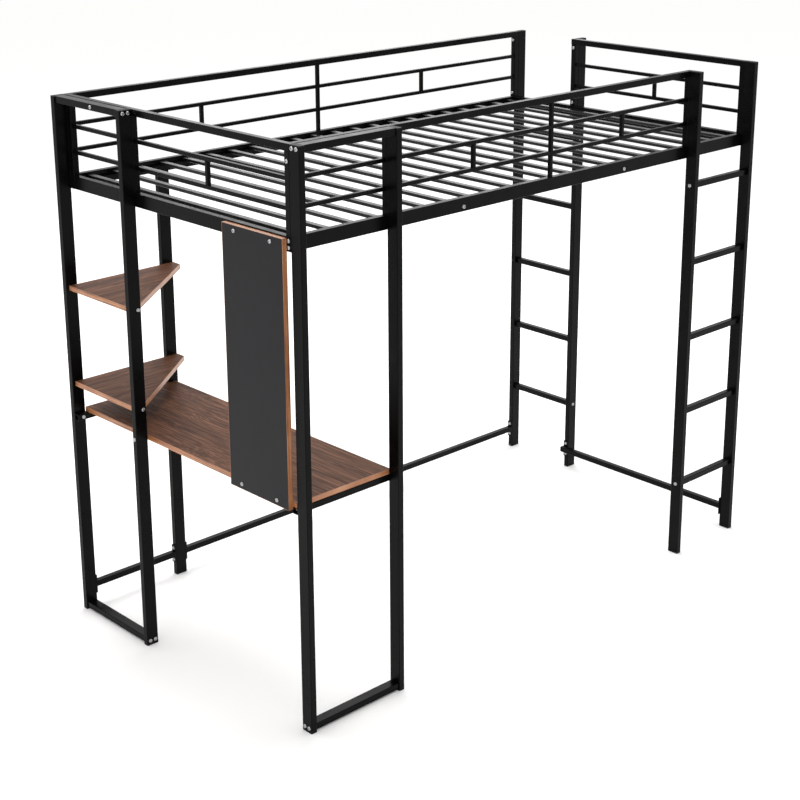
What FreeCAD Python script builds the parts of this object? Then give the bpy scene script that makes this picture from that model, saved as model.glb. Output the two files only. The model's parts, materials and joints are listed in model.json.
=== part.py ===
import FreeCAD, Part
import math
import os
import Sketcher
from FreeCAD import Rotation, Vector

doc = FreeCAD.newDocument("LoftBedWithDesk")

# ---------------------------------------------------------------- driving dimensions (mm)
# +X runs along the bed from the desk end to the ladder end, +Y from the front long side to
# the back, +Z up.  The origin is on the floor under the middle of the bed.
SIZES = {
    "frame_length": 1980,        # outside of the left end frame to outside of the right one
    "overall_width": 1094,       # front face of the front legs to back face of the back legs
    "overall_height": 1676,
    "bed_rail_base": 1392,       # underside of the bed rails above the floor
    "leg_frame_width": 358,      # desk leg frames, outside to outside of their two posts
    "ladder_width": 318,         # ladders, outside to outside of their two posts
    "post_wide": 40,
    "post_thin": 20,
    "leg_rail_wide": 32,         # rails between the two posts of a leg frame, as thin as the posts
    "guard_tube": 20,            # guard top rails and uprights, square
    "bed_rail_tall": 40,
    "bar_side": 12,              # thin guard bars, square
    "rung_side": 20,
    "tube_wall": 1.2,
    "corner_round": 2,
    "leg_rail_lift": 5,          # gap under the bottom rails of the leg frames
    "first_rung": 257,           # centre of the lowest rung above the floor
    "last_rung_drop": 87,        # centre of the highest rung below the bed rails
    "socket_depth": 10,
    "socket_clearance": 0.3,
    "stretcher_height": 76,      # centre of the floor stretchers
    "plate_tall": 62,
    "plate_thick": 4,
    "plate_bolt_rise": 20,
    "board_thick": 15,
    "band_thick": 1,
    "desk_top_height": 691,
    "desk_inset": 12,            # desk edge behind the outer face of the inner desk posts
    "desk_gap": 2,
    "lower_shelf_height": 782,   # top faces of the two corner shelves
    "upper_shelf_height": 1092,
    "shelf_overhang": 30,        # how far the shelves reach over the left leg frame
    "shelf_tip": 38,             # cut-off tips of the shelf triangle
    "shelf_gap": 1,
    "panel_gap": 7,              # from the front bed frame's centre line to the panel
    "panel_width": 255,
    "panel_below_top": 4,        # panel's top edge below the bed rail's top face
    "panel_below_desk": 8,       # panel's bottom edge below the desk's underside
    "panel_bolt_inset": 51,
    "slat_first": 68,            # first slat's centre from the left end of the bed
    "slat_last": 53.5,           # last slat's centre from the right end
    "slat_wide": 20,
    "slat_thick": 10,
    "slat_drop": 7,              # slats' top faces below the bed rails' top faces
    "slat_gap": 1,
    "bearer_tall": 22,
    "bearer_wide": 20,
    "bearer_thick": 2,
    "bearer_bolt_drop": 9,
    "bearer_bolt_reach": 356,    # from the middle of the bed, both ways
    "foot_thick": 5,
    "foot_plug": 6,
    "cap_thick": 3,
    "cap_plug": 3,
    "plug_long": 12,             # threaded end plugs, and the thread's reach in every joint
    "cover_plug_long": 8,
    "plug_clearance": 0.2,
    "bolt_size": 6,
    "bolt_clearance": 0.6,
    "thread_clearance": 0.3,
    "head_wide": 12,
    "head_tall": 3.2,
    "recess_wide": 4.6,          # hexagon socket, across its corners
    "recess_deep": 2,
    "nut_wide": 9,
    "twin_bolt_spread": 9,       # half the distance between paired bolts
    "guard_bolt_drop": 31,       # upper bolts of the guards below the overall height
    "guard_bolt_rise": 13,       # lower bolts above the bed rails
    "corner_bolt_drop": 46,
    "rail_bolt_reach": 153,      # guard rail bolt behind the front of the left leg frame's inner post
    "spigot_long": 100,
    "overcut": 0.5,              # how far a cutting tool reaches past the material
}
SLAT_COUNT = 22
RUNG_COUNT = 5

sheet = doc.addObject("Spreadsheet::Sheet", "Sizes")
for row, (alias, value) in enumerate(SIZES.items(), start=1):
    sheet.set(f"A{row}", alias)
    sheet.set(f"B{row}", str(value))
    sheet.setAlias(f"B{row}", alias)
doc.recompute()

# ---------------------------------------------------------------- named places (formulas)
LENGTH = "Sizes.frame_length"
HEIGHT = "Sizes.overall_height"
WIDE = "Sizes.post_wide"
THIN = "Sizes.post_thin"
TUBE = "Sizes.guard_tube"
BAR = "Sizes.bar_side"
PLATE = "Sizes.plate_thick"
BOARD = "Sizes.board_thick"
BAND = "Sizes.band_thick"
HALF_TUBE = f"{TUBE} / 2"

LEFT = f"(-{LENGTH} / 2)"                        # outside of the left end frame
RIGHT = f"({LENGTH} / 2)"
FRONT = "(-Sizes.overall_width / 2)"             # front face of the front legs
BACK = "(Sizes.overall_width / 2)"
GUARD_FRONT = f"({FRONT} + {WIDE})"              # front face of the front bed frame
GUARD_INNER = f"({GUARD_FRONT} + {TUBE})"
BACK_INNER = f"({BACK} - {TUBE})"
BACK_POST_INNER = f"({BACK} - {THIN})"
DESK_INNER = f"({LEFT} + Sizes.leg_frame_width)"
DESK_SIDE = f"({BACK} - Sizes.leg_frame_width)"
LADDER_FRONT = f"({RIGHT} - Sizes.ladder_width)"
LADDER_SIDE = f"({BACK} - Sizes.ladder_width)"

FRAME_FRONT_Y = f"({GUARD_FRONT} + {HALF_TUBE})"   # centre lines of the bed frames
FRAME_BACK_Y = f"({BACK} - {HALF_TUBE})"
FRAME_LEFT_X = f"({LEFT} + {HALF_TUBE})"
FRAME_RIGHT_X = f"({RIGHT} - {HALF_TUBE})"
FRONT_POST_Y = f"({FRONT} + {WIDE} / 2)"         # centre lines of the posts
BACK_POST_Y = f"({BACK} - {THIN} / 2)"
LEFT_POST_X = f"({LEFT} - {WIDE} / 2)"
RIGHT_POST_X = f"({RIGHT} + {WIDE} / 2)"
CORNER_LEFT_X = f"({LEFT} + {THIN} / 2)"
CORNER_RIGHT_X = f"({RIGHT} - {THIN} / 2)"
DESK_INNER_X = f"({DESK_INNER} - {THIN} / 2)"
LADDER_INNER_X = f"({LADDER_FRONT} + {THIN} / 2)"
DESK_SIDE_Y = f"({DESK_SIDE} + {THIN} / 2)"
LADDER_SIDE_Y = f"({LADDER_SIDE} + {THIN} / 2)"
SHORT_POST_X = f"({DESK_INNER} - {WIDE} / 2)"

RAIL_LOW = "Sizes.bed_rail_base"
RAIL_TOP = f"({RAIL_LOW} + Sizes.bed_rail_tall)"
RAIL_MID = f"({RAIL_LOW} + Sizes.bed_rail_tall / 2)"
GUARD_TOP = f"({HEIGHT} - {HALF_TUBE})"          # centre of the guard top rails
UPRIGHT_TOP = f"({HEIGHT} - {TUBE})"
BAR_GAP = f"(({UPRIGHT_TOP} - {RAIL_TOP} - 2 * {BAR}) / 3)"
LOW_BAR = f"({RAIL_TOP} + {BAR_GAP} + {BAR} / 2)"
HIGH_BAR = f"({UPRIGHT_TOP} - {BAR_GAP} - {BAR} / 2)"
POST_BASE = "Sizes.foot_thick"
POST_TOP = f"({HEIGHT} - Sizes.cap_thick)"
RAIL_WIDE = "Sizes.leg_rail_wide"
LEG_RAIL_HEIGHTS = {
    "bottom": f"(Sizes.leg_rail_lift + {THIN} / 2)",
    "top": f"({HEIGHT} - {THIN} / 2)",
}
RUNG_STEP = f"(({RAIL_LOW} - Sizes.last_rung_drop - Sizes.first_rung) / {RUNG_COUNT - 1})"
RUNG_HEIGHTS = [f"(Sizes.first_rung + {index} * {RUNG_STEP})" for index in range(RUNG_COUNT)]
STRETCHER = "Sizes.stretcher_height"
DESK_LOW = f"(Sizes.desk_top_height - {BOARD})"
DESK_MID = f"(Sizes.desk_top_height - {BOARD} / 2)"
SUPPORT_MID = f"({DESK_LOW} - {HALF_TUBE})"
SLAT_TOP = f"({RAIL_TOP} - Sizes.slat_drop)"
BEARER_TOP = f"({SLAT_TOP} - Sizes.slat_thick)"

POSTS = {
    # name: (centre x, centre y, True where the wide side runs along X)
    "desk_post_back_left": (LEFT_POST_X, BACK_POST_Y, True),
    "desk_post_left_inner": (LEFT_POST_X, DESK_SIDE_Y, True),
    "desk_post_front_left": (CORNER_LEFT_X, FRONT_POST_Y, False),
    "desk_post_front_inner": (DESK_INNER_X, FRONT_POST_Y, False),
    "desk_post_back_inner": (SHORT_POST_X, BACK_POST_Y, True),
    "ladder_post_back_right": (RIGHT_POST_X, BACK_POST_Y, True),
    "ladder_post_end_inner": (RIGHT_POST_X, LADDER_SIDE_Y, True),
    "ladder_post_front_inner": (LADDER_INNER_X, FRONT_POST_Y, False),
    "ladder_post_front_right": (CORNER_RIGHT_X, FRONT_POST_Y, False),
}
SHORT_POST = "desk_post_back_inner"              # ends under the back bed rail

HEADINGS = {"+x": (0, 1), "-x": (0, -1), "+y": (1, 1), "-y": (1, -1), "+z": (2, 1)}
# turn a section drawn in the XY plane: the first letter is the way the piece runs, the
# second the way the section's wider side lies
TURNS = {
    "z/x": Rotation(),
    "z/y": Rotation(Vector(0, 0, 1), 90),
    "x/y": Rotation(Vector(1, 1, 1), 120),
    "x/z": Rotation(Vector(0, 1, 0), 90),
    "y/x": Rotation(Vector(1, 0, 0), -90),
    "y/z": Rotation(Vector(1, 1, 1), 240),
}


# ---------------------------------------------------------------- sketches
def bind(obj, prop, formula):
    obj.setExpression(prop, str(formula))


def named_constraint(sketch, constraint, name, formula):
    index = sketch.addConstraint(constraint)
    sketch.renameConstraint(index, name)
    bind(sketch, f"Constraints.{name}", formula)


def round_loop(sketch, tag, half_a, half_b, radius):
    """Adds a rounded rectangle round the origin; each size is (value now, formula)."""
    a, a_formula = half_a
    b, b_formula = half_b
    r, r_formula = radius
    first = sketch.GeometryCount
    sides = [((r - a, -b), (a - r, -b)), ((a, r - b), (a, b - r)),
             ((a - r, b), (r - a, b)), ((-a, b - r), (-a, r - b))]
    centres = [(a - r, r - b), (a - r, b - r), (r - a, b - r), (r - a, r - b)]
    for quarter, ((start, end), centre) in enumerate(zip(sides, centres)):
        sketch.addGeometry(Part.LineSegment(Vector(*start, 0), Vector(*end, 0)))
        circle = Part.Circle(Vector(*centre, 0), Vector(0, 0, 1), r)
        begin = math.radians(90 * quarter - 90)
        sketch.addGeometry(Part.ArcOfCircle(circle, begin, begin + math.pi / 2))
    for quarter in range(4):
        line = first + 2 * quarter
        following = first + (2 * quarter + 2) % 8
        sketch.addConstraint(Sketcher.Constraint("Tangent", line, 2, line + 1, 1))
        sketch.addConstraint(Sketcher.Constraint("Tangent", line + 1, 2, following, 1))
        level_side = quarter % 2 == 0
        sketch.addConstraint(Sketcher.Constraint("Horizontal" if level_side else "Vertical", line))
    for quarter in range(3):
        sketch.addConstraint(Sketcher.Constraint("Equal", first + 1, first + 3 + 2 * quarter))
    bottom, right, top, left = first, first + 2, first + 4, first + 6
    rows = [
        (Sketcher.Constraint("Radius", first + 1, r), "radius", r_formula),
        (Sketcher.Constraint("DistanceX", -1, 1, right, 1, a), "right", a_formula),
        (Sketcher.Constraint("DistanceX", left, 1, -1, 1, a), "left", a_formula),
        (Sketcher.Constraint("DistanceY", -1, 1, top, 1, b), "top", b_formula),
        (Sketcher.Constraint("DistanceY", bottom, 1, -1, 1, b), "bottom", b_formula),
    ]
    for constraint, name, formula in rows:
        named_constraint(sketch, constraint, f"{tag}_{name}", formula)


def section(name, wide, thin, kind="tube"):
    """Sketch of a section centred on the origin.

    wide and thin name rows of SIZES.  kind: "tube", "bar" (solid), or "plug" (a solid that
    fits inside the tube of that size).
    """
    sketch = doc.addObject("Sketcher::SketchObject", name)
    wall = SIZES["tube_wall"]
    inset, inset_formula = 0, "0"
    if kind == "plug":
        inset = wall + SIZES["plug_clearance"]
        inset_formula = "(Sizes.tube_wall + Sizes.plug_clearance)"
    outer_round = (SIZES["corner_round"], "Sizes.corner_round")
    inner_round = (SIZES["corner_round"] / 2, "Sizes.corner_round / 2")
    outer = [(SIZES[side] / 2 - inset, f"Sizes.{side} / 2 - {inset_formula}") for side in (wide, thin)]
    round_loop(sketch, "outer", *outer, inner_round if kind == "plug" else outer_round)
    if kind == "tube":
        inner = [(SIZES[side] / 2 - wall, f"Sizes.{side} / 2 - Sizes.tube_wall") for side in (wide, thin)]
        round_loop(sketch, "inner", *inner, inner_round)
    return sketch


def outline(name, points):
    """Closed sketch of straight sides through points given as (x formula, y formula)."""
    sketch = doc.addObject("Sketcher::SketchObject", name)
    count = len(points)
    # a plain ring to begin with; the formulas then carry every corner to its place
    ring = [Vector(math.cos(math.tau * index / count), math.sin(math.tau * index / count), 0)
            for index in range(count)]
    for index in range(count):
        sketch.addGeometry(Part.LineSegment(ring[index], ring[(index + 1) % count]))
    for index in range(count):
        following = (index + 1) % count
        sketch.addConstraint(Sketcher.Constraint("Coincident", index, 2, following, 1))
    for index, (x, y) in enumerate(points):
        across = Sketcher.Constraint("DistanceX", -1, 1, index, 1, ring[index].x)
        upward = Sketcher.Constraint("DistanceY", -1, 1, index, 1, ring[index].y)
        named_constraint(sketch, across, f"across{index}", x)
        named_constraint(sketch, upward, f"upward{index}", y)
    return sketch


POST_TUBE = section("PostTube", "post_wide", "post_thin")
LEG_TUBE = section("LegRailTube", "leg_rail_wide", "post_thin")
RAIL_TUBE = section("BedRailTube", "bed_rail_tall", "guard_tube")
GUARD_TUBE = section("GuardTube", "guard_tube", "guard_tube")
RUNG_TUBE = section("RungTube", "rung_side", "rung_side")
SLAT_TUBE = section("SlatTube", "slat_wide", "slat_thick")
THIN_BAR = section("ThinBar", "bar_side", "bar_side", "bar")
POST_COVER = section("PostCover", "post_wide", "post_thin", "bar")
POST_PLUG = section("PostPlug", "post_wide", "post_thin", "plug")
LEG_PLUG = section("LegRailPlug", "leg_rail_wide", "post_thin", "plug")
RAIL_PLUG = section("BedRailPlug", "bed_rail_tall", "guard_tube", "plug")
GUARD_PLUG = section("GuardPlug", "guard_tube", "guard_tube", "plug")
RUNG_PLUG = section("RungPlug", "rung_side", "rung_side", "plug")


# ---------------------------------------------------------------- solids
def place(obj, point, turn=None):
    if turn is not None:
        obj.Placement = FreeCAD.Placement(Vector(0, 0, 0), turn)
    for letter, formula in zip("xyz", point):
        bind(obj, f"Placement.Base.{letter}", formula)


def along(point, heading, distance):
    """The point moved along a heading."""
    axis, sign = HEADINGS[heading]
    moved = list(point)
    moved[axis] = f"({moved[axis]} + ({sign}) * ({distance}))"
    return tuple(moved)


def heading_vector(heading):
    axis, sign = HEADINGS[heading]
    vector = [0, 0, 0]
    vector[axis] = sign
    return Vector(*vector)


def run(sketch, turn, start, length):
    """A section run from its centre at start for a length; turn names a row of TURNS."""
    piece = doc.addObject("Part::Extrusion", "Run")
    piece.Base = sketch
    piece.DirMode = "Custom"
    piece.Dir = Vector(0, 0, 1)
    piece.Solid = True
    bind(piece, "LengthFwd", length)
    place(piece, start, TURNS[turn])
    return piece


def upright(sketch, x, y, low, high):
    return run(sketch, "z/x", (x, y, low), f"{high} - {low}")


def level_x(sketch, turn, begin, end, y, z):
    return run(sketch, turn, (begin, y, z), f"{end} - {begin}")


def level_y(sketch, turn, begin, end, x, z):
    return run(sketch, turn, (x, begin, z), f"{end} - {begin}")


def block(start, size):
    piece = doc.addObject("Part::Box", "Block")
    for prop, formula in zip(("Length", "Width", "Height"), size):
        bind(piece, prop, formula)
    place(piece, start)
    return piece


def cut(base, tools):
    if not tools:
        return base
    result = doc.addObject("Part::Cut", "Cut")
    result.Base = base
    result.Tool = tools[0] if len(tools) == 1 else fuse(tools)
    return result


def fuse(shapes):
    joined = doc.addObject("Part::MultiFuse", "Joined")
    joined.Shapes = shapes
    return joined


# ---------------------------------------------------------------- bolted joints
HOLE = "(Sizes.bolt_size + Sizes.bolt_clearance)"
THREAD = "(Sizes.bolt_size + Sizes.thread_clearance)"
NUT_HOLE = "(Sizes.nut_wide + Sizes.plug_clearance)"
REACH = "Sizes.plug_long"
OVER = "Sizes.overcut"
holes = {}
bolts = {}
fittings = {}


def ask_hole(part, point, heading, diameter, begin, depth):
    """Notes a round hole wanted in a part: "node", or "node/piece" in a grouped node."""
    start = along(point, heading, f"{begin} - {OVER}")
    holes.setdefault(part, []).append((start, heading, diameter, f"{depth} + 2 * {OVER}"))


def joint(group, point, heading, layers, receiver=None, fitting=None):
    """A bolt whose head sits at point and whose shank runs along heading.

    layers: (part, thickness) passed in turn.  receiver: the part whose thread or fitting
    the bolt ends in.  fitting: the node of nuts or inserts that holds the thread, or None
    where the receiver itself is threaded.
    """
    grip = "0"
    for part, thickness in layers:
        ask_hole(part, point, heading, HOLE, grip, thickness)
        grip = f"{grip} + {thickness}"
    if receiver:
        ask_hole(receiver, point, heading, NUT_HOLE if fitting else THREAD, grip, REACH)
    if fitting:
        fittings.setdefault(fitting, []).append((along(point, heading, grip), heading))
    bolts.setdefault(group, []).append((point, heading, grip))


SPREADS = ("-Sizes.twin_bolt_spread", "Sizes.twin_bolt_spread")
RAIL_TWINS = [f"({RAIL_MID} + {offset})" for offset in SPREADS]

# leg frames: two bolts side by side through each post into the plug of each rail end
for name, height in LEG_RAIL_HEIGHTS.items():
    for offset in SPREADS:
        side_x = f"({LEFT_POST_X} + {offset})"
        front_y = f"({FRONT_POST_Y} + {offset})"
        for point, heading, post, plug in (
            ((side_x, DESK_SIDE, height), "+y", "desk_post_left_inner", f"left_{name}_near"),
            ((side_x, BACK, height), "-y", "desk_post_back_left", f"left_{name}_far"),
            ((LEFT, front_y, height), "+x", "desk_post_front_left", f"front_{name}_near"),
            ((DESK_INNER, front_y, height), "-x", "desk_post_front_inner", f"front_{name}_far"),
        ):
            joint("leg_frame_bolts", point, heading, [(post, THIN)], f"leg_rail_plugs/{plug}")

# the bed frames' uprights are bolted from inside to the posts that stand beside them
LEFT_FACE = f"({LEFT} + {TUBE})"
RIGHT_FACE = f"({RIGHT} - {TUBE})"
for frame, x, y, heading, post in (
    ("back_bed_frame/left_end", LEFT_FACE, BACK_POST_Y, "-x", "desk_post_back_left"),
    ("left_bed_frame/desk_upright", LEFT_FACE, DESK_SIDE_Y, "-x", "desk_post_left_inner"),
    ("left_bed_frame/front_end", FRAME_LEFT_X, GUARD_INNER, "-y", "desk_post_front_left"),
    ("front_bed_frame/desk_upright", DESK_INNER_X, GUARD_INNER, "-y", "desk_post_front_inner"),
    ("front_bed_frame/ladder_upright", LADDER_INNER_X, GUARD_INNER, "-y", "ladder_post_front_inner"),
    ("right_bed_frame/front_end", FRAME_RIGHT_X, GUARD_INNER, "-y", "ladder_post_front_right"),
    ("right_bed_frame/ladder_upright", RIGHT_FACE, LADDER_SIDE_Y, "+x", "ladder_post_end_inner"),
    ("back_bed_frame/right_end", RIGHT_FACE, BACK_POST_Y, "+x", "ladder_post_back_right"),
):
    for height in (f"({HEIGHT} - Sizes.guard_bolt_drop)", f"({RAIL_TOP} + Sizes.guard_bolt_rise)"):
        joint("post_to_bed_bolts", (x, y, height), heading, [(frame, TUBE)], post, "rivet_nuts")

# the four bed frames are bolted to each other at the corners
for height in [f"({HEIGHT} - Sizes.corner_bolt_drop)"] + RAIL_TWINS:
    joint("bed_corner_bolts", (LEFT, FRAME_FRONT_Y, height), "+x",
          [("left_bed_frame/front_end", TUBE)], "front_bed_frame/left_end", "rivet_nuts")
    joint("bed_corner_bolts", (FRAME_LEFT_X, BACK, height), "-y",
          [("back_bed_frame/left_end", TUBE)], "left_bed_frame/back_end", "rivet_nuts")
for height in RAIL_TWINS:
    joint("bed_corner_bolts", (RIGHT, FRAME_FRONT_Y, height), "-x",
          [("right_bed_frame/front_end", TUBE)], "bed_rail_plugs/front")
    joint("bed_corner_bolts", (FRAME_RIGHT_X, BACK, height), "-y",
          [("back_bed_frame/right_end", TUBE)], "bed_rail_plugs/right")
RAIL_SETBACK = f"(({WIDE} - {RAIL_WIDE}) / 2)"
joint("guard_rail_bolt",
      (f"({LEFT_POST_X} - {RAIL_WIDE} / 2)", f"({DESK_SIDE} + Sizes.rail_bolt_reach)",
       LEG_RAIL_HEIGHTS["top"]), "+x",
      [("left_leg_top_rail", f"{RAIL_WIDE} + {RAIL_SETBACK}")], "left_bed_frame/top_rail", "rivet_nuts")

# top and bottom rungs are bolted through the ladder posts
for level, height in (("low", RUNG_HEIGHTS[0]), ("high", RUNG_HEIGHTS[-1])):
    for point, heading, post, plug in (
        ((LADDER_FRONT, FRONT_POST_Y, height), "+x", "ladder_post_front_inner", f"front_{level}_near"),
        ((RIGHT, FRONT_POST_Y, height), "-x", "ladder_post_front_right", f"front_{level}_far"),
        ((RIGHT_POST_X, LADDER_SIDE, height), "+y", "ladder_post_end_inner", f"end_{level}_near"),
        ((RIGHT_POST_X, BACK, height), "-y", "ladder_post_back_right", f"end_{level}_far"),
    ):
        joint("rung_bolts", point, heading, [(post, THIN)], f"rung_plugs/{plug}")

# floor stretchers: end plates with one bolt above and one below the tube
SHORT_POST_FACE = f"({DESK_INNER} - {WIDE})"
for part, x, y, heading, post in (
    ("back_stretcher_desk/left_plate", f"({LEFT} + {PLATE})", FRAME_BACK_Y, "-x", "desk_post_back_left"),
    ("back_stretcher_desk/right_plate", f"({SHORT_POST_FACE} - {PLATE})", FRAME_BACK_Y, "+x", SHORT_POST),
    ("back_stretcher_long/left_plate", f"({DESK_INNER} + {PLATE})", FRAME_BACK_Y, "-x", SHORT_POST),
    ("back_stretcher_long/right_plate", f"({RIGHT} - {PLATE})", FRAME_BACK_Y, "+x", "ladder_post_back_right"),
    ("end_stretcher/side_plate", f"({RIGHT} - {PLATE})", LADDER_SIDE_Y, "+x", "ladder_post_end_inner"),
    ("end_stretcher/front_plate", FRAME_RIGHT_X, f"({GUARD_FRONT} + {PLATE})", "-y",
     "ladder_post_front_right"),
):
    for rise in ("-Sizes.plate_bolt_rise", "Sizes.plate_bolt_rise"):
        height = f"({STRETCHER} + {rise})"
        joint("stretcher_bolts", (x, y, height), heading, [(part, PLATE)], post, "rivet_nuts")

# desk support tubes, bolted to the posts from inside
SUPPORT_BACK_FACE = f"({BACK_INNER} - {TUBE})"
for x, y, heading, tube, post in (
    (LEFT_POST_X, SUPPORT_BACK_FACE, "+y", "desk_support_back", "desk_post_back_left"),
    (SHORT_POST_X, SUPPORT_BACK_FACE, "+y", "desk_support_back", SHORT_POST),
    (FRAME_LEFT_X, GUARD_INNER, "-y", "desk_support_front", "desk_post_front_left"),
    (DESK_INNER_X, GUARD_INNER, "-y", "desk_support_front", "desk_post_front_inner"),
):
    joint("desk_support_bolts", (x, y, SUPPORT_MID), heading, [(tube, TUBE)], post, "rivet_nuts")

# corner shelves, bolted through three posts into inserts in the board's edges
SHELF_LEFT = f"({LEFT} - Sizes.shelf_overhang)"
TIP_MID = f"({SHELF_LEFT} + Sizes.shelf_tip / 2)"
for shelf in ("lower_shelf", "upper_shelf"):
    middle = f"(Sizes.{shelf}_height - {BOARD} / 2)"
    for x, y, heading, post in (
        (TIP_MID, DESK_SIDE, "+y", "desk_post_left_inner"),
        (TIP_MID, BACK, "-y", "desk_post_back_left"),
        (SHORT_POST_X, BACK, "-y", SHORT_POST),
    ):
        layers = [(post, f"{THIN} + Sizes.shelf_gap"), (f"{shelf}_edge_band", BAND)]
        joint("shelf_bolts", (x, y, middle), heading, layers, shelf, "board_inserts")

# side panel, bolted to the left bed rail above and to the desk's edge below
PANEL_FACE = f"({LEFT} - {BOARD})"
PANEL_FRONT = f"({FRAME_FRONT_Y} + Sizes.panel_gap)"
PANEL_BACK = f"({PANEL_FRONT} + Sizes.panel_width)"
PANEL_LOW = f"({DESK_LOW} - Sizes.panel_below_desk)"
PANEL_TOP = f"({RAIL_TOP} - Sizes.panel_below_top)"
for y in (f"({PANEL_FRONT} + Sizes.panel_bolt_inset)", f"({PANEL_BACK} - Sizes.panel_bolt_inset)"):
    joint("panel_bolts", (PANEL_FACE, y, RAIL_MID), "+x",
          [("side_panel", BOARD)], "left_bed_frame/bed_rail", "rivet_nuts")
    joint("panel_bolts", (PANEL_FACE, y, DESK_MID), "+x",
          [("side_panel", BOARD), ("desk_edge_band", BAND)], "desk_top", "board_inserts")
joint("desk_side_bolt", (f"({LEFT} - {WIDE})", DESK_SIDE_Y, DESK_MID), "+x",
      [("desk_post_left_inner", WIDE), ("desk_edge_band", BAND)], "desk_top", "board_inserts")

# slat bearers, bolted through the two long bed rails
BEARER_BOLT = f"({BEARER_TOP} - Sizes.bearer_bolt_drop)"
for reach in ("-Sizes.bearer_bolt_reach", "Sizes.bearer_bolt_reach"):
    for y, heading, side in ((GUARD_FRONT, "+y", "front"), (BACK, "-y", "back")):
        layers = [(f"{side}_bed_frame/bed_rail", TUBE), (f"slat_bearer_{side}", "Sizes.bearer_thick")]
        joint("bearer_bolts", (reach, y, BEARER_BOLT), heading, layers, fitting="bearer_nuts")

# the short back post slides over a spigot under the back bed rail
joint("spigot_bolt", (SHORT_POST_X, BACK, f"({RAIL_LOW} - Sizes.spigot_long / 2)"), "-y",
      [(SHORT_POST, "(Sizes.tube_wall + Sizes.plug_clearance)")], "back_rail_spigot")


def drill(start, heading, diameter, depth):
    tool = doc.addObject("Part::Cylinder", "Drill")
    bind(tool, "Radius", f"{diameter} / 2")
    bind(tool, "Height", depth)
    place(tool, start, Rotation(Vector(0, 0, 1), heading_vector(heading)))
    return tool


def drilled(part, base, extra=()):
    """The base less every hole that the joints ask of this part, and any extra tools."""
    return cut(base, [drill(*wanted) for wanted in holes.pop(part, [])] + list(extra))


NODES = []


def node(label, shapes):
    """Names one sub-part; several solids of one sub-part become a group."""
    if len(shapes) == 1:
        part = shapes[0]
    else:
        part = doc.addObject("Part::Compound", "Group")
        part.Links = shapes
    part.Label = label
    NODES.append(part)


def grouped(label, pieces):
    """One node of named pieces, each with the holes asked of "label/piece"."""
    node(label, [drilled(f"{label}/{name}", piece) for name, piece in pieces.items()])


# ---------------------------------------------------------------- posts, feet and caps
SOCKET = "(Sizes.rung_side + 2 * Sizes.socket_clearance)"
INTO_POST = f"({THIN} - Sizes.socket_depth)"
SOCKET_STARTS = {
    # ladder post: the socket's low corner in x and y, and True where it runs along X
    "ladder_post_front_inner": (f"({LADDER_FRONT} + {INTO_POST})", f"({FRONT_POST_Y} - {SOCKET} / 2)", True),
    "ladder_post_front_right": (f"({RIGHT} - {THIN} - {OVER})", f"({FRONT_POST_Y} - {SOCKET} / 2)", True),
    "ladder_post_end_inner": (f"({RIGHT_POST_X} - {SOCKET} / 2)", f"({LADDER_SIDE} + {INTO_POST})", False),
    "ladder_post_back_right": (f"({RIGHT_POST_X} - {SOCKET} / 2)", f"({BACK} - {THIN} - {OVER})", False),
}


def sockets(post):
    """Square pockets in a ladder post's inner face for the rungs between top and bottom."""
    x, y, runs_along_x = SOCKET_STARTS[post]
    deep = f"(Sizes.socket_depth + {OVER})"
    size = (deep, SOCKET, SOCKET) if runs_along_x else (SOCKET, deep, SOCKET)
    return [block((x, y, f"({height} - {SOCKET} / 2)"), size) for height in RUNG_HEIGHTS[1:-1]]


feet = []
caps = []
for post, (x, y, wide_along_x) in POSTS.items():
    turn = "z/x" if wide_along_x else "z/y"
    top = RAIL_LOW if post == SHORT_POST else POST_TOP
    tube = run(POST_TUBE, turn, (x, y, POST_BASE), f"{top} - {POST_BASE}")
    node(post, [drilled(post, tube, sockets(post) if post in SOCKET_STARTS else ())])
    sole = run(POST_COVER, turn, (x, y, "0"), POST_BASE)
    stem = run(POST_PLUG, turn, (x, y, f"{POST_BASE} / 2"), f"{POST_BASE} / 2 + Sizes.foot_plug")
    feet.append(fuse([sole, stem]))
    if post != SHORT_POST:
        lid = run(POST_COVER, turn, (x, y, POST_TOP), "Sizes.cap_thick")
        stem_low = f"({POST_TOP} - Sizes.cap_plug)"
        stem = run(POST_PLUG, turn, (x, y, stem_low), "Sizes.cap_plug + Sizes.cap_thick / 2")
        caps.append(fuse([lid, stem]))
node("foot_caps", feet)
node("post_top_caps", caps)


# ---------------------------------------------------------------- leg frame rails and ladders
def end_plugs(name, sketch, turn, start, heading, length):
    """Plugs just inside both ends of a tube that starts at start."""
    far = along(start, heading, f"{length} - {REACH}")
    return {
        f"{name}_near": run(sketch, turn, start, REACH),
        f"{name}_far": run(sketch, turn, far, REACH),
    }


LEG_RAIL_LONG = f"(Sizes.leg_frame_width - 2 * {THIN})"
leg_plugs = {}
for name, height in LEG_RAIL_HEIGHTS.items():
    for side, turn, heading, start in (
        ("left", "y/x", "+y", (LEFT_POST_X, f"({DESK_SIDE} + {THIN})", height)),
        ("front", "x/y", "+x", (f"({LEFT} + {THIN})", FRONT_POST_Y, height)),
    ):
        rail = run(LEG_TUBE, turn, start, LEG_RAIL_LONG)
        node(f"{side}_leg_{name}_rail", [drilled(f"{side}_leg_{name}_rail", rail)])
        leg_plugs.update(end_plugs(f"{side}_{name}", LEG_PLUG, turn, start, heading, LEG_RAIL_LONG))
grouped("leg_rail_plugs", leg_plugs)

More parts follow.
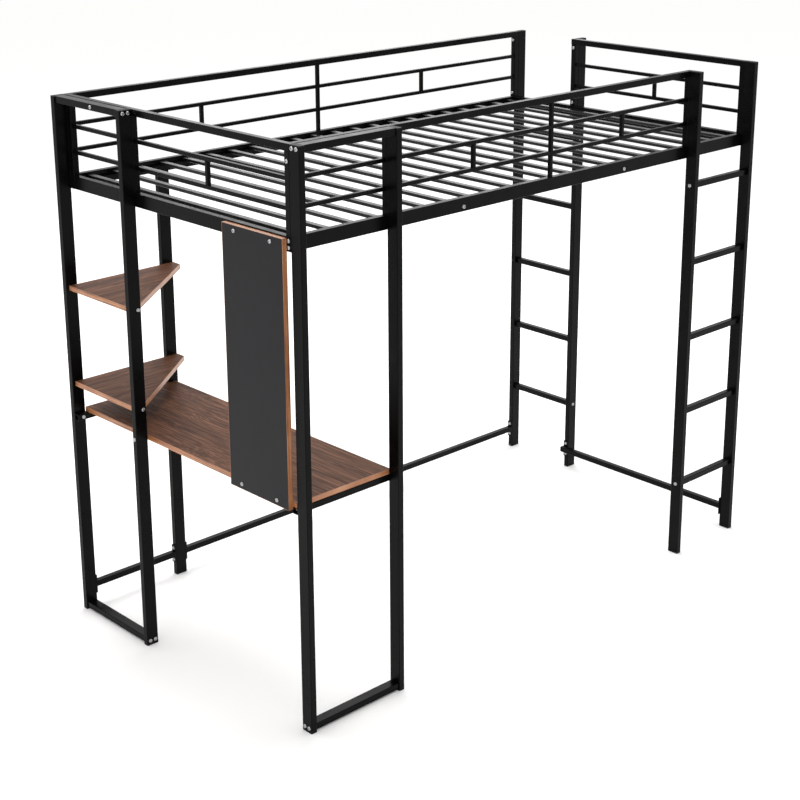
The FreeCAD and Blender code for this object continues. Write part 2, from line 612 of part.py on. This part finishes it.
RUNG_LONG = f"(Sizes.ladder_width - 2 * {THIN})"
SEATED = "(Sizes.socket_depth - Sizes.socket_clearance)"
rung_plugs = {}
for side, turn, heading, x, y in (
    ("front", "x/y", "+x", f"({LADDER_FRONT} + {THIN})", FRONT_POST_Y),
    ("end", "y/x", "+y", RIGHT_POST_X, f"({LADDER_SIDE} + {THIN})"),
):
    rungs = [run(RUNG_TUBE, turn, (x, y, height), RUNG_LONG)
             for height in (RUNG_HEIGHTS[0], RUNG_HEIGHTS[-1])]
    for level, height in (("low", RUNG_HEIGHTS[0]), ("high", RUNG_HEIGHTS[-1])):
        start = (x, y, height)
        rung_plugs.update(end_plugs(f"{side}_{level}", RUNG_PLUG, turn, start, heading, RUNG_LONG))
    for height in RUNG_HEIGHTS[1:-1]:
        start = along((x, y, height), heading, f"-{SEATED}")
        rungs.append(run(RUNG_TUBE, turn, start, f"{RUNG_LONG} + 2 * {SEATED}"))
    node(f"{side}_ladder_rungs", rungs)
grouped("rung_plugs", rung_plugs)


# ---------------------------------------------------------------- bed frames
def guard_bars(name, runs_along_x, fixed, begin, end, stub=True):
    """The two thin bars between uprights, and the short stub half-way that joins them."""
    level, turn = (level_x, "x/y") if runs_along_x else (level_y, "y/x")
    pieces = {
        f"{name}_low_bar": level(THIN_BAR, turn, begin, end, fixed, LOW_BAR),
        f"{name}_high_bar": level(THIN_BAR, turn, begin, end, fixed, HIGH_BAR),
    }
    if stub:
        middle = f"(({begin} + {end}) / 2)"
        x, y = (middle, fixed) if runs_along_x else (fixed, middle)
        low = f"({LOW_BAR} + {BAR} / 2)"
        pieces[f"{name}_stub"] = upright(THIN_BAR, x, y, low, f"({HIGH_BAR} - {BAR} / 2)")
    return pieces


SIDE_END = f"({BACK_INNER} - {TUBE})"
grouped("left_bed_frame", {
    "front_end": upright(GUARD_TUBE, FRAME_LEFT_X, FRAME_FRONT_Y, RAIL_LOW, UPRIGHT_TOP),
    "back_end": upright(GUARD_TUBE, FRAME_LEFT_X, f"({SIDE_END} + {HALF_TUBE})", RAIL_LOW, UPRIGHT_TOP),
    "desk_upright": upright(GUARD_TUBE, FRAME_LEFT_X, DESK_SIDE_Y, RAIL_TOP, UPRIGHT_TOP),
    "bed_rail": level_y(RAIL_TUBE, "y/z", GUARD_INNER, SIDE_END, FRAME_LEFT_X, RAIL_MID),
    "top_rail": level_y(GUARD_TUBE, "y/x", GUARD_FRONT, BACK_INNER, FRAME_LEFT_X, GUARD_TOP),
    **guard_bars("front", False, FRAME_LEFT_X, GUARD_INNER, f"({DESK_SIDE_Y} - {HALF_TUBE})"),
    **guard_bars("back", False, FRAME_LEFT_X, f"({DESK_SIDE_Y} + {HALF_TUBE})", SIDE_END, stub=False),
})

FRONT_START = f"({LEFT_FACE} + {TUBE})"
FRONT_MID = f"(({DESK_INNER} + {LADDER_FRONT}) / 2)"
FRONT_TOP_END = f"({LADDER_INNER_X} + {HALF_TUBE})"
DESK_BARS = (f"({DESK_INNER_X} - {HALF_TUBE})", f"({DESK_INNER_X} + {HALF_TUBE})")
LADDER_BARS = f"({LADDER_INNER_X} - {HALF_TUBE})"
grouped("front_bed_frame", {
    "left_end": upright(GUARD_TUBE, f"({LEFT_FACE} + {HALF_TUBE})", FRAME_FRONT_Y, RAIL_LOW, UPRIGHT_TOP),
    "desk_upright": upright(GUARD_TUBE, DESK_INNER_X, FRAME_FRONT_Y, RAIL_TOP, UPRIGHT_TOP),
    "ladder_upright": upright(GUARD_TUBE, LADDER_INNER_X, FRAME_FRONT_Y, RAIL_TOP, UPRIGHT_TOP),
    "middle_upright": upright(THIN_BAR, FRONT_MID, FRAME_FRONT_Y, RAIL_TOP, UPRIGHT_TOP),
    "bed_rail": level_x(RAIL_TUBE, "x/z", FRONT_START, RIGHT_FACE, FRAME_FRONT_Y, RAIL_MID),
    "top_rail": level_x(GUARD_TUBE, "x/y", LEFT_FACE, FRONT_TOP_END, FRAME_FRONT_Y, GUARD_TOP),
    **guard_bars("desk", True, FRAME_FRONT_Y, FRONT_START, DESK_BARS[0], stub=False),
    **guard_bars("left", True, FRAME_FRONT_Y, DESK_BARS[1], f"({FRONT_MID} - {BAR} / 2)"),
    **guard_bars("right", True, FRAME_FRONT_Y, f"({FRONT_MID} + {BAR} / 2)", LADDER_BARS),
})

grouped("back_bed_frame", {
    "left_end": upright(GUARD_TUBE, FRAME_LEFT_X, FRAME_BACK_Y, RAIL_LOW, UPRIGHT_TOP),
    "right_end": upright(GUARD_TUBE, FRAME_RIGHT_X, FRAME_BACK_Y, RAIL_LOW, UPRIGHT_TOP),
    "middle_upright": upright(THIN_BAR, "0", FRAME_BACK_Y, RAIL_TOP, UPRIGHT_TOP),
    "bed_rail": level_x(RAIL_TUBE, "x/z", LEFT_FACE, RIGHT_FACE, FRAME_BACK_Y, RAIL_MID),
    "top_rail": level_x(GUARD_TUBE, "x/y", LEFT, RIGHT, FRAME_BACK_Y, GUARD_TOP),
    **guard_bars("left", True, FRAME_BACK_Y, LEFT_FACE, f"(-{BAR} / 2)"),
    **guard_bars("right", True, FRAME_BACK_Y, f"({BAR} / 2)", RIGHT_FACE),
})

SIDE_TOP_END = f"({LADDER_SIDE_Y} + {HALF_TUBE})"
grouped("right_bed_frame", {
    "front_end": upright(GUARD_TUBE, FRAME_RIGHT_X, FRAME_FRONT_Y, RAIL_LOW, UPRIGHT_TOP),
    "ladder_upright": upright(GUARD_TUBE, FRAME_RIGHT_X, LADDER_SIDE_Y, RAIL_TOP, UPRIGHT_TOP),
    "bed_rail": level_y(RAIL_TUBE, "y/z", GUARD_INNER, BACK_INNER, FRAME_RIGHT_X, RAIL_MID),
    "top_rail": level_y(GUARD_TUBE, "y/x", GUARD_FRONT, SIDE_TOP_END, FRAME_RIGHT_X, GUARD_TOP),
    **guard_bars("front", False, FRAME_RIGHT_X, GUARD_INNER, f"({LADDER_SIDE_Y} - {HALF_TUBE})"),
})

COVER = "Sizes.cover_plug_long"
grouped("bed_rail_plugs", {
    "front": run(RAIL_PLUG, "x/z", (f"({RIGHT_FACE} - {REACH})", FRAME_FRONT_Y, RAIL_MID), REACH),
    "right": run(RAIL_PLUG, "y/z", (FRAME_RIGHT_X, f"({BACK_INNER} - {REACH})", RAIL_MID), REACH),
})
grouped("guard_end_plugs", {
    "front": run(GUARD_PLUG, "x/y", (f"({FRONT_TOP_END} - {COVER})", FRAME_FRONT_Y, GUARD_TOP), COVER),
    "right": run(GUARD_PLUG, "y/x", (FRAME_RIGHT_X, f"({SIDE_TOP_END} - {COVER})", GUARD_TOP), COVER),
})
spigot_low = f"({RAIL_LOW} - Sizes.spigot_long)"
spigot = upright(POST_PLUG, SHORT_POST_X, BACK_POST_Y, spigot_low, RAIL_LOW)
node("back_rail_spigot", [drilled("back_rail_spigot", spigot)])


# ---------------------------------------------------------------- floor stretchers
PLATE_LOW = f"({STRETCHER} - Sizes.plate_tall / 2)"


def plate_across_x(x, y=FRAME_BACK_Y):
    """An end plate facing along X, with its low x face at x."""
    return block((x, f"({y} - {HALF_TUBE})", PLATE_LOW), (PLATE, TUBE, "Sizes.plate_tall"))


for label, begin, end in (
    ("back_stretcher_desk", LEFT, SHORT_POST_FACE),
    ("back_stretcher_long", DESK_INNER, RIGHT),
):
    grouped(label, {
        "tube": level_x(GUARD_TUBE, "x/y", f"({begin} + {PLATE})", f"({end} - {PLATE})",
                        FRAME_BACK_Y, STRETCHER),
        "left_plate": plate_across_x(begin),
        "right_plate": plate_across_x(f"({end} - {PLATE})"),
    })
grouped("end_stretcher", {
    "tube": level_y(GUARD_TUBE, "y/x", f"({GUARD_FRONT} + {PLATE})", SIDE_TOP_END,
                    f"({FRAME_RIGHT_X} - {PLATE})", STRETCHER),
    "front_plate": block((f"({RIGHT_FACE} - {PLATE})", GUARD_FRONT, PLATE_LOW),
                         (f"({TUBE} + {PLATE})", PLATE, "Sizes.plate_tall")),
    "side_plate": plate_across_x(f"({RIGHT} - {PLATE})", LADDER_SIDE_Y),
})


# ---------------------------------------------------------------- desk, panel and shelves
def board(label, band_label, start, size, flat_axis):
    """A rectangular board with a thin band round its four narrow edges.

    flat_axis is the axis square to the board's two large faces.
    """
    core_start = list(start)
    core_size = list(size)
    for axis in {0, 1, 2} - {flat_axis}:
        core_start[axis] = f"({start[axis]} + {BAND})"
        core_size[axis] = f"{size[axis]} - 2 * {BAND}"
    node(label, [drilled(label, block(core_start, core_size))])
    band = cut(block(start, size), [block(core_start, core_size)])
    node(band_label, [drilled(band_label, band)])


DESK_FRONT = f"({GUARD_FRONT} + Sizes.desk_gap)"
DESK_DEEP = f"({BACK_INNER} - {GUARD_FRONT} - 2 * Sizes.desk_gap)"
board("desk_top", "desk_edge_band", (LEFT, DESK_FRONT, DESK_LOW),
      ("(Sizes.leg_frame_width - Sizes.desk_inset)", DESK_DEEP, BOARD), 2)
board("side_panel", "side_panel_edge_band", (PANEL_FACE, PANEL_FRONT, PANEL_LOW),
      (BOARD, "Sizes.panel_width", f"({PANEL_TOP} - {PANEL_LOW})"), 0)

back_support = level_x(GUARD_TUBE, "x/y", f"({LEFT} - {WIDE})", DESK_INNER,
                       f"({BACK_INNER} - {HALF_TUBE})", SUPPORT_MID)
front_support = level_x(GUARD_TUBE, "x/y", LEFT, DESK_INNER, FRAME_FRONT_Y, SUPPORT_MID)
node("desk_support_back", [drilled("desk_support_back", back_support)])
node("desk_support_front", [drilled("desk_support_front", front_support)])

SHELF_LONG = "(Sizes.leg_frame_width + Sizes.shelf_overhang)"
SHELF_DEEP = f"({LEG_RAIL_LONG} - 2 * Sizes.shelf_gap)"
TIP = "Sizes.shelf_tip"
SLANT_X = f"({SHELF_LONG} - {TIP})"              # extent of the slanted edge in x and y
SLANT_Y = f"({SHELF_DEEP} - {TIP})"
SLANT = f"sqrt({SLANT_X} * {SLANT_X} + {SLANT_Y} * {SLANT_Y})"


def shelf_outline(name, inset):
    """Right-angled triangle with cut-off tips, drawn from its square corner at the back left.

    inset moves every edge inwards by the same distance, the slanted one included.
    """
    tip_x = f"{TIP} - {inset} * ({SLANT} - {SLANT_X}) / {SLANT_Y}"
    tip_y = f"{inset} * ({SLANT} - {SLANT_Y}) / {SLANT_X} - {TIP}"
    return outline(name, [
        (inset, f"-{inset}"),
        (inset, f"{inset} - {SHELF_DEEP}"),
        (tip_x, f"{inset} - {SHELF_DEEP}"),
        (f"{SHELF_LONG} - {inset}", tip_y),
        (f"{SHELF_LONG} - {inset}", f"-{inset}"),
    ])


SHELF_SKETCH = shelf_outline("ShelfOutline", "0")
SHELF_CORE = shelf_outline("ShelfCoreOutline", BAND)
for shelf in ("lower_shelf", "upper_shelf"):
    start = (SHELF_LEFT, f"({BACK_POST_INNER} - Sizes.shelf_gap)", f"(Sizes.{shelf}_height - {BOARD})")
    node(shelf, [drilled(shelf, run(SHELF_CORE, "z/x", start, BOARD))])
    band = cut(run(SHELF_SKETCH, "z/x", start, BOARD), [run(SHELF_CORE, "z/x", start, BOARD)])
    node(f"{shelf}_edge_band", [drilled(f"{shelf}_edge_band", band)])

# ---------------------------------------------------------------- slats and their bearers
SLAT_STEP = f"(({LENGTH} - Sizes.slat_first - Sizes.slat_last) / {SLAT_COUNT - 1})"
SLAT_START = f"({GUARD_INNER} + Sizes.slat_gap)"
SLAT_END = f"({BACK_INNER} - Sizes.slat_gap)"
slats = []
for index in range(SLAT_COUNT):
    x = f"({LEFT} + Sizes.slat_first + {index} * {SLAT_STEP})"
    middle = f"({SLAT_TOP} - Sizes.slat_thick / 2)"
    slats.append(level_y(SLAT_TUBE, "y/x", SLAT_START, SLAT_END, x, middle))
node("bed_slats", slats)

LEAF = "Sizes.bearer_thick"
BEARER_LOW = f"({BEARER_TOP} - Sizes.bearer_tall)"
BEARER_LONG = f"({RIGHT_FACE} - {FRONT_START})"
for side, wall_y, leaf_y in (
    ("front", GUARD_INNER, GUARD_INNER),
    ("back", f"({BACK_INNER} - {LEAF})", f"({BACK_INNER} - Sizes.bearer_wide)"),
):
    wall = block((FRONT_START, wall_y, BEARER_LOW), (BEARER_LONG, LEAF, "Sizes.bearer_tall"))
    leaf_start = (FRONT_START, leaf_y, f"({BEARER_TOP} - {LEAF})")
    leaf = block(leaf_start, (BEARER_LONG, "Sizes.bearer_wide", LEAF))
    node(f"slat_bearer_{side}", [drilled(f"slat_bearer_{side}", fuse([wall, leaf]))])


# ---------------------------------------------------------------- fasteners
def revolve(sketch, point, heading):
    """Turns a half section round its Y axis, and sends its -Y end along the heading."""
    turned = doc.addObject("Part::Revolution", "Turned")
    turned.Source = sketch
    turned.Axis = Vector(0, 1, 0)
    turned.Base = Vector(0, 0, 0)
    turned.Angle = 360
    turned.Solid = True
    place(turned, point, Rotation(Vector(0, -1, 0), heading_vector(heading)))
    return turned


def bolt_outline(name, grip):
    """Half section of a button-head bolt: shank below the head, socket not yet cut."""
    shank = "Sizes.bolt_size / 2"
    rim = "Sizes.head_wide / 2"
    crown = "Sizes.head_tall"
    end = f"-({grip} + {REACH})"
    return outline(name, [
        ("0", end),
        (shank, end),
        (shank, "0"),
        (rim, "0"),
        (rim, f"{crown} / 4"),
        (f"{rim} * 7 / 8", f"{crown} * 3 / 4"),
        (f"{rim} * 5 / 8", crown),
        ("0", crown),
    ])


def socket_bolt(sketch, point, heading):
    """A bolt with a hexagon socket sunk in its head."""
    tool = doc.addObject("Part::Prism", "Hexagon")
    tool.Polygon = 6
    bind(tool, "Circumradius", "Sizes.recess_wide / 2")
    bind(tool, "Height", f"Sizes.recess_deep + {OVER}")
    start = along(point, heading, f"-(Sizes.head_tall + {OVER})")
    place(tool, start, Rotation(Vector(0, 0, 1), heading_vector(heading)))
    return cut(revolve(sketch, point, heading), [tool])


NUT_SKETCH = outline("NutOutline", [
    (f"{THREAD} / 2", "0"),
    ("Sizes.nut_wide / 2", "0"),
    ("Sizes.nut_wide / 2", f"-{REACH}"),
    (f"{THREAD} / 2", f"-{REACH}"),
])
for fitting, spots in fittings.items():
    node(fitting, [revolve(NUT_SKETCH, point, heading) for point, heading in spots])

bolt_sketches = {}
for group, members in bolts.items():
    for point, heading, grip in members:
        if grip not in bolt_sketches:
            bolt_sketches[grip] = bolt_outline(f"BoltOutline{len(bolt_sketches)}", grip)
    node(group, [socket_bolt(bolt_sketches[grip], point, heading) for point, heading, grip in members])

# ---------------------------------------------------------------- check and export
if holes:
    raise RuntimeError(f"holes asked of unknown parts: {sorted(holes)}")
doc.recompute()
for obj in doc.Objects:
    if "Invalid" in obj.State or "Error" in obj.State:
        raise RuntimeError(f"{obj.Name} ({obj.Label}) did not compute: {obj.State}")
for part in NODES:
    if part.Shape.isNull() or not part.Shape.isValid() or not part.Shape.Solids:
        raise RuntimeError(f"{part.Label} has no valid solid")

os.makedirs("parts", exist_ok=True)
for part in NODES:
    part.Shape.exportStep(f"parts/{part.Label}.step")
    print(part.Label, len(part.Shape.Solids), round(part.Shape.Volume))
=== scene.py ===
import json
import math

import bpy
from mathutils import Euler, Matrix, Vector

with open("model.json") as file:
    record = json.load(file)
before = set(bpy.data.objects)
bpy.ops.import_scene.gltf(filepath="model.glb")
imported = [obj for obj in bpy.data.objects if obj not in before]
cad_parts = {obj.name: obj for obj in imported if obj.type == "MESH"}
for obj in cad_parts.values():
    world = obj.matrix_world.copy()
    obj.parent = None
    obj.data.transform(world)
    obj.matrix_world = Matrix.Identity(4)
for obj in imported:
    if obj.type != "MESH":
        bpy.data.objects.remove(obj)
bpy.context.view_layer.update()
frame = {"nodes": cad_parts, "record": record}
nodes = frame["nodes"]
MM = 0.001


# ---------------------------------------------------------------- material helpers
def linear(code):
    """sRGB hex colour as linear red, green, blue and full alpha."""
    channels = [int(code[place:place + 2], 16) / 255 for place in (1, 3, 5)]
    return [c / 12.92 if c <= 0.04045 else ((c + 0.055) / 1.055) ** 2.4 for c in channels] + [1.0]


def add(tree, kind, inputs=None, stops=(), **settings):
    """Adds a node. Inputs are values or other nodes' sockets, settings are its own properties,
    and stops are a colour ramp's (position, hex colour) pairs, from left to right."""
    made = tree.nodes.new(kind)
    for name, value in settings.items():
        setattr(made, name, value)
    for name, value in (inputs or {}).items():
        if isinstance(value, bpy.types.NodeSocket):
            tree.links.new(value, made.inputs[name])
        else:
            made.inputs[name].default_value = value
    if stops:
        elements = made.color_ramp.elements
        elements.remove(elements[1])
    for index, (position, code) in enumerate(stops):
        element = elements.new(position) if index else elements[0]
        element.position = position
        element.color = linear(code)
    return made


def blank(name):
    """An empty material and its node tree."""
    material = bpy.data.materials.new(name)
    material.use_nodes = True
    material.node_tree.nodes.clear()
    return material, material.node_tree


def surface(tree, inputs):
    """Ends a material: the shader with its inputs, joined to the output."""
    shader = add(tree, "ShaderNodeBsdfPrincipled", inputs)
    add(tree, "ShaderNodeOutputMaterial", {"Surface": shader.outputs["BSDF"]})


def blotches(tree, place, sizes, detail=3.0, roughness=0.5):
    """Soft blotches of about the given size in metres on each axis."""
    unit = [1 / size for size in sizes]
    scaled = add(tree, "ShaderNodeMapping", {"Vector": place, "Scale": unit})
    inputs = {"Vector": scaled.outputs["Vector"], "Scale": 1.0, "Detail": detail, "Roughness": roughness}
    return add(tree, "ShaderNodeTexNoise", inputs).outputs["Fac"]


# blotches hardly leave this range, so it is carried to the range that a finish needs
SPREAD = {"From Min": 0.3, "From Max": 0.7}


def mixed(tree, shares):
    """Sum of blotches, each spread from 0 to its share; the shares add up to 1."""
    total = None
    for value, share in shares:
        part = add(tree, "ShaderNodeMapRange", {**SPREAD, "Value": value, "To Max": share})
        part = part.outputs["Result"]
        if total is None:
            total = part
        else:
            total = add(tree, "ShaderNodeMath", {0: total, 1: part}, operation="ADD").outputs[0]
    return total


# ---------------------------------------------------------------- finishes
def powder_coat(name, dark, light, gloss_level):
    """Polyester powder coat on steel tube, sprayed and baked: a satin film with fine orange peel.

    The eye sees near-black flats whose gloss is a little uneven, with soft pale highlights on
    faces that look up at the light.
    """
    material, tree = blank(name)
    place = add(tree, "ShaderNodeTexCoord").outputs["Object"]
    peel = blotches(tree, place, [1.6 * MM] * 3, detail=2.0)
    clouds = blotches(tree, place, [55 * MM] * 3)
    # the film's own speck is 0.2 mm; it is drawn at 3 mm, the finest that shows
    speck = blotches(tree, place, [3 * MM] * 3, detail=4.0, roughness=0.7)
    tint = mixed(tree, [(clouds, 0.6), (speck, 0.4)])
    colour = add(tree, "ShaderNodeValToRGB", {"Fac": tint}, [(0.0, dark), (1.0, light)])
    satin = add(tree, "ShaderNodeMapRange", {**SPREAD, "Value": clouds, "To Min": 0.24, "To Max": 0.36})
    relief = add(tree, "ShaderNodeBump", {"Height": peel, "Distance": 0.05 * MM, "Strength": 0.5})
    surface(tree, {
        "Base Color": colour.outputs["Color"],
        "Roughness": satin.outputs["Result"],
        "Specular IOR Level": gloss_level,
        "Normal": relief.outputs["Normal"],
    })
    return material


def walnut(name, grain_axis):
    """Walnut-printed melamine laminate on particle board, pressed with a light texture.

    Long dark streaks and paler bands run with the grain, a few millimetres wide and tens of
    centimetres long, with a finer hair grain between them; the film is satin.
    """
    material, tree = blank(name)
    place = add(tree, "ShaderNodeTexCoord").outputs["Object"]

    def grain(wide, long):
        """Sizes of a streak: long with the grain, wide across it."""
        return [long if axis == grain_axis else wide for axis in "xyz"]

    waves = blotches(tree, place, grain(160 * MM, 500 * MM), detail=1.0)
    bend = {**SPREAD, "Value": waves, "To Min": -12 * MM, "To Max": 12 * MM}
    bend = add(tree, "ShaderNodeMapRange", bend).outputs["Result"]
    nudge = add(tree, "ShaderNodeCombineXYZ", {axis: bend for axis in "XYZ"}).outputs["Vector"]
    bent = add(tree, "ShaderNodeVectorMath", {0: place, 1: nudge}, operation="ADD").outputs["Vector"]
    bands = blotches(tree, bent, grain(20 * MM, 600 * MM), detail=2.0)
    streaks = blotches(tree, bent, grain(3.2 * MM, 200 * MM), roughness=0.7)
    # the print's hair grain is about 0.5 mm wide; it is drawn at 1.6 mm to show
    hairs = blotches(tree, bent, grain(1.6 * MM, 90 * MM), detail=2.0, roughness=0.6)
    tint = mixed(tree, [(bands, 0.25), (streaks, 0.5), (hairs, 0.25)])
    colour = add(tree, "ShaderNodeValToRGB", {"Fac": tint},
                 [(0.0, "#1c0e08"), (0.35, "#3e2518"), (0.6, "#603d2a"), (1.0, "#96694c")])
    satin = add(tree, "ShaderNodeMapRange", {**SPREAD, "Value": streaks, "To Min": 0.64, "To Max": 0.52})
    relief = add(tree, "ShaderNodeBump", {"Height": hairs, "Distance": 0.06 * MM, "Strength": 0.4})
    surface(tree, {
        "Base Color": colour.outputs["Color"],
        "Roughness": satin.outputs["Result"],
        "Specular IOR Level": 0.12,
        "Normal": relief.outputs["Normal"],
    })
    return material


def edge_band(name, thin_axis):
    """Printed ABS edge band, glued on and trimmed: tan with stripes that follow the board's edge.

    The stripes lie across the board's thickness, a few millimetres apart, paler and darker in
    turn, with a faint mottling along their length.
    """
    material, tree = blank(name)
    place = add(tree, "ShaderNodeTexCoord").outputs["Object"]
    sizes = [3.2 * MM if axis == thin_axis else 240 * MM for axis in "xyz"]
    stripes = blotches(tree, place, sizes, detail=2.0, roughness=0.6)
    patches = blotches(tree, place, [60 * MM] * 3, detail=2.0)
    tint = mixed(tree, [(stripes, 0.75), (patches, 0.25)])
    colour = add(tree, "ShaderNodeValToRGB", {"Fac": tint},
                 [(0.0, "#4d2f20"), (0.3, "#8c5836"), (0.6, "#aa714a"), (1.0, "#c0906f")])
    satin = add(tree, "ShaderNodeMapRange", {**SPREAD, "Value": stripes, "To Min": 0.28, "To Max": 0.38})
    relief = add(tree, "ShaderNodeBump", {"Height": stripes, "Distance": 0.03 * MM, "Strength": 0.3})
    surface(tree, {
        "Base Color": colour.outputs["Color"],
        "Roughness": satin.outputs["Result"],
        "Specular IOR Level": 0.45,
        "Normal": relief.outputs["Normal"],
    })
    return material


def charcoal_board():
    """Charcoal melamine film, pearl-textured in the press: matt, with a faint cool unevenness."""
    material, tree = blank("charcoal_melamine_board")
    place = add(tree, "ShaderNodeTexCoord").outputs["Object"]
    clouds = blotches(tree, place, [120 * MM, 120 * MM, 260 * MM])
    # the pearl grain is 0.4 mm; it is drawn at 2 mm to show
    pearl = blotches(tree, place, [2 * MM] * 3, roughness=0.6)
    tint = mixed(tree, [(clouds, 0.55), (pearl, 0.45)])
    colour = add(tree, "ShaderNodeValToRGB", {"Fac": tint}, [(0.0, "#141316"), (1.0, "#1d1c1f")])
    matt = add(tree, "ShaderNodeMapRange", {**SPREAD, "Value": clouds, "To Min": 0.42, "To Max": 0.52})
    relief = add(tree, "ShaderNodeBump", {"Height": pearl, "Distance": 0.05 * MM, "Strength": 0.4})
    surface(tree, {
        "Base Color": colour.outputs["Color"],
        "Roughness": matt.outputs["Result"],
        "Specular IOR Level": 0.15,
        "Normal": relief.outputs["Normal"],
    })
    return material


def moulded_plastic():
    """Injection-moulded black polyethylene: duller than the steel, with a spark-eroded grain."""
    material, tree = blank("moulded_polyethylene_black")
    place = add(tree, "ShaderNodeTexCoord").outputs["Object"]
    # the eroded grain is 0.1 mm; it is drawn at 1 mm to show
    grit = blotches(tree, place, [1 * MM] * 3, roughness=0.7)
    colour = add(tree, "ShaderNodeValToRGB", {"Fac": grit}, [(0.3, "#0b0b0b"), (0.8, "#161616")])
    dull = add(tree, "ShaderNodeMapRange", {**SPREAD, "Value": grit, "To Min": 0.5, "To Max": 0.62})
    relief = add(tree, "ShaderNodeBump", {"Height": grit, "Distance": 0.04 * MM, "Strength": 0.4})
    surface(tree, {
        "Base Color": colour.outputs["Color"],
        "Roughness": dull.outputs["Result"],
        "Specular IOR Level": 0.15,
        "Normal": relief.outputs["Normal"],
    })
    return material


def zinc_plate():
    """Zinc-plated steel, barrel plated: bright grey metal with soft clouding."""
    material, tree = blank("zinc_plated_steel")
    place = add(tree, "ShaderNodeTexCoord").outputs["Object"]
    clouds = blotches(tree, place, [4 * MM] * 3, roughness=0.6)
    colour = add(tree, "ShaderNodeValToRGB", {"Fac": clouds}, [(0.3, "#8f908f"), (0.7, "#c4c5c6")])
    gloss = add(tree, "ShaderNodeMapRange", {**SPREAD, "Value": clouds, "To Min": 0.24, "To Max": 0.4})
    surface(tree, {
        "Base Color": colour.outputs["Color"],
        "Roughness": gloss.outputs["Result"],
        "Metallic": 1.0,
    })
    return material


BY_SLOT = {
    "black_steel": powder_coat("powder_coated_steel_black", "#030303", "#0a0a0a", 0.07),
    "slat_steel": powder_coat("powder_coated_slat_steel", "#0b0b0b", "#161616", 0.2),
    "walnut_laminate": walnut("walnut_laminate_shelf", "x"),
    "tan_edge_band": edge_band("abs_edge_band_level_board", "z"),
    "charcoal_board": charcoal_board(),
    "black_plastic": moulded_plastic(),
    "zinc_steel": zinc_plate(),
}
# the desk's grain runs front to back, and the panel stands on edge
BY_NODE = {
    "desk_top": walnut("walnut_laminate_desk", "y"),
    "side_panel_edge_band": edge_band("abs_edge_band_upright_board", "x"),
}
for row in frame["record"]["subparts"]:
    finish = BY_NODE.get(row["node"], BY_SLOT[row["material_slot"]])
    for slot in nodes[row["node"]].material_slots:
        slot.material = finish


# ---------------------------------------------------------------- floor, light and camera
FLOOR_HALF = 60.0
WORLD_STRENGTH = 1.05
BED_MIDDLE = Vector((0.0, 0.0, 0.8))
# name, place and side in metres, power in watts
SOFT_BOXES = [
    ("overhead_box", (0.6, 1.2, 5.5), 4.0, 240.0),
    ("left_box", (-5.5, -1.0, 3.0), 2.6, 25.0),
    ("back_box", (3.6, 4.2, 3.6), 3.2, 45.0),
]
CAMERA_PLACE = (-3.57689, -3.65712, 2.49884)
CAMERA_TURN = (73.2397, 0.2482, -43.4036)
CAMERA_LENS = 73.641
CAMERA_SHIFT = -0.13
CAMERA_REACH = 200.0


def studio_floor():
    """A wide, matt, nearly white floor at height zero."""
    mesh = bpy.data.meshes.new("studio_floor")
    corners = [(x * FLOOR_HALF, y * FLOOR_HALF, 0.0) for x, y in ((-1, -1), (1, -1), (1, 1), (-1, 1))]
    mesh.from_pydata(corners, [], [(0, 1, 2, 3)])
    paper, tree = blank("studio_floor_white")
    surface(tree, {"Base Color": linear("#f8f8f7"), "Roughness": 0.9, "Specular IOR Level": 0.0})
    mesh.materials.append(paper)
    made = bpy.data.objects.new("studio_floor", mesh)
    bpy.context.scene.collection.objects.link(made)
    return made


def soft_light(name, place, side, power):
    """A square soft box at place, facing the middle of the bed and hidden from the camera."""
    lamp = bpy.data.lights.new(name, "AREA")
    lamp.shape = "SQUARE"
    lamp.size = side
    lamp.energy = power
    holder = bpy.data.objects.new(name, lamp)
    bpy.context.scene.collection.objects.link(holder)
    holder.visible_camera = False
    holder.location = place
    holder.rotation_euler = (Vector(place) - BED_MIDDLE).to_track_quat("Z", "Y").to_euler()


floor = studio_floor()

world = bpy.data.worlds.new("studio")
world.use_nodes = True
sky = world.node_tree.nodes["Background"]
sky.inputs["Color"].default_value = linear("#ffffff")
sky.inputs["Strength"].default_value = WORLD_STRENGTH
bpy.context.scene.world = world

for box in SOFT_BOXES:
    soft_light(*box)

camera = bpy.data.objects.new("camera", bpy.data.cameras.new("camera"))
bpy.context.scene.collection.objects.link(camera)
camera.location = CAMERA_PLACE
camera.rotation_euler = Euler([math.radians(angle) for angle in CAMERA_TURN])
camera.data.lens = CAMERA_LENS
camera.data.shift_y = CAMERA_SHIFT
camera.data.clip_end = CAMERA_REACH
bpy.context.scene.camera = camera
bpy.context.scene.view_settings.view_transform = "Standard"
